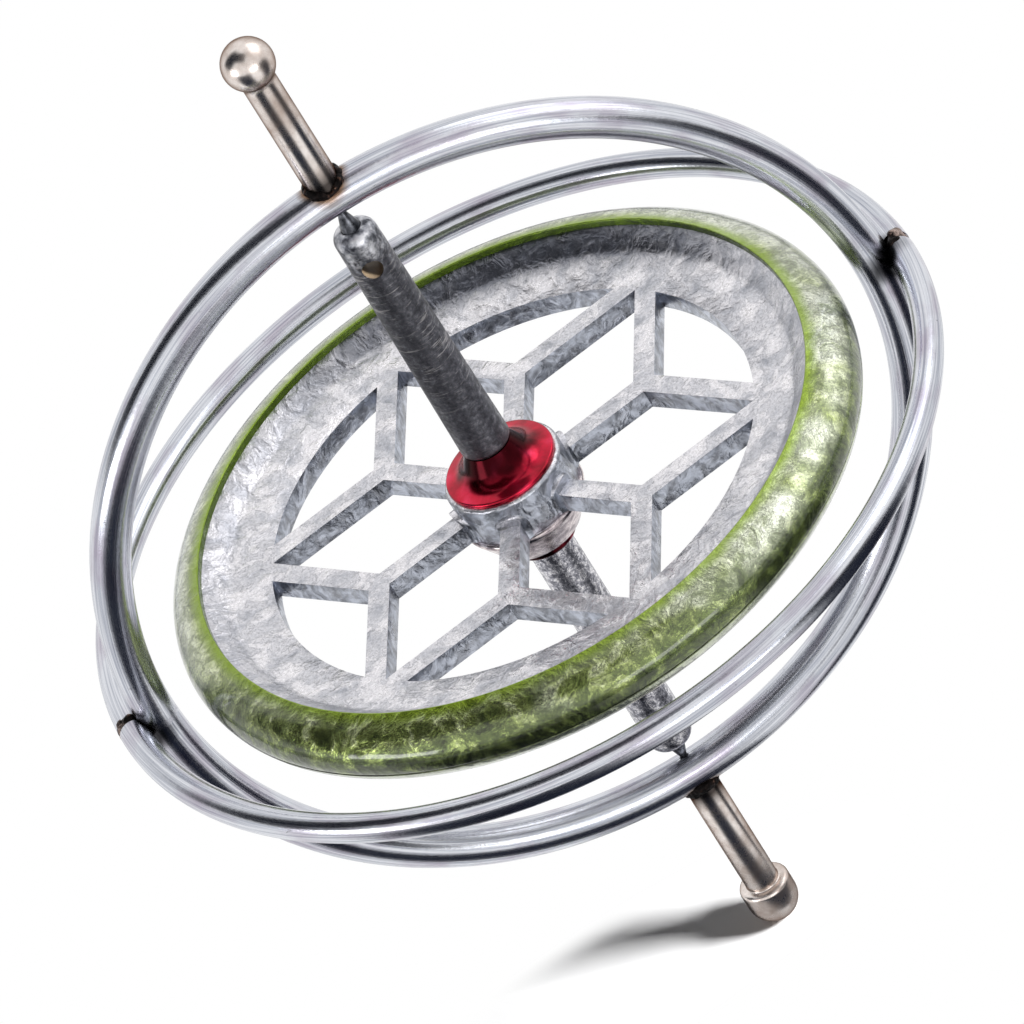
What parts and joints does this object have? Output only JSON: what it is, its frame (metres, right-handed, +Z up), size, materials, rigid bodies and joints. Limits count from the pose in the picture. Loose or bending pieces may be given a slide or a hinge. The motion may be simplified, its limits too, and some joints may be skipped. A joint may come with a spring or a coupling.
{
  "type": "toy gyroscope",
  "caption": "Toy gyroscope: a cast lattice wheel with a lacquered rim spins on a pointed axle inside two crossed wire rings with a ball-ended stem and a round foot.",
  "frame": {"origin": "lowest point of the round foot, on the axle's line", "axes": "+Z up the axle to the ball, +X to the right-hand crossing of the two rings"},
  "size_m": [0.0649, 0.0644, 0.0884],
  "materials": {
    "ring_steel": "bare drawn wire with fine streaks and specks of rust",
    "weld_scale": "burnt weld scale with coppery specks",
    "stem_nickel": "polished nickel plate with a warm tint",
    "cast_zinc": "as-cast zinc with flow marks",
    "green_lacquer": "clear green lacquer over cast metal",
    "red_lacquer": "clear red lacquer over bright metal",
    "ferrule_steel": "smooth turned metal",
    "shaft_gunmetal": "dull dark grey with fine turning marks",
    "shaft_bright": "bright sparkling as-cast metal",
    "pivot_steel": "hardened dark steel"
  },
  "bodies": {
    "frame": {"polar_ring": "ring_steel", "equator_hoop_front": "ring_steel", "equator_hoop_rear": "ring_steel", "ring_weld_right": "weld_scale", "ring_weld_left": "weld_scale", "ball_stem": "stem_nickel", "ball_stem_weld": "weld_scale", "foot_stem": "stem_nickel", "foot_stem_weld": "weld_scale"},
    "rotor": {"wheel_casting": "cast_zinc", "wheel_rim": "green_lacquer", "hub_ferrule": "ferrule_steel", "upper_collar": "red_lacquer", "lower_collar": "red_lacquer", "axle_core": "pivot_steel", "upper_shaft": "shaft_gunmetal", "lower_shaft": "shaft_bright", "upper_pivot": "pivot_steel", "lower_pivot": "pivot_steel"}
  },
  "joints": [
    {"name": "rotor_spin", "type": "hinge", "parent": "frame", "child": "rotor", "pos_m": [0, 0, 0.0446], "axis": [0, 0, 1], "continuous": true}
  ]
}
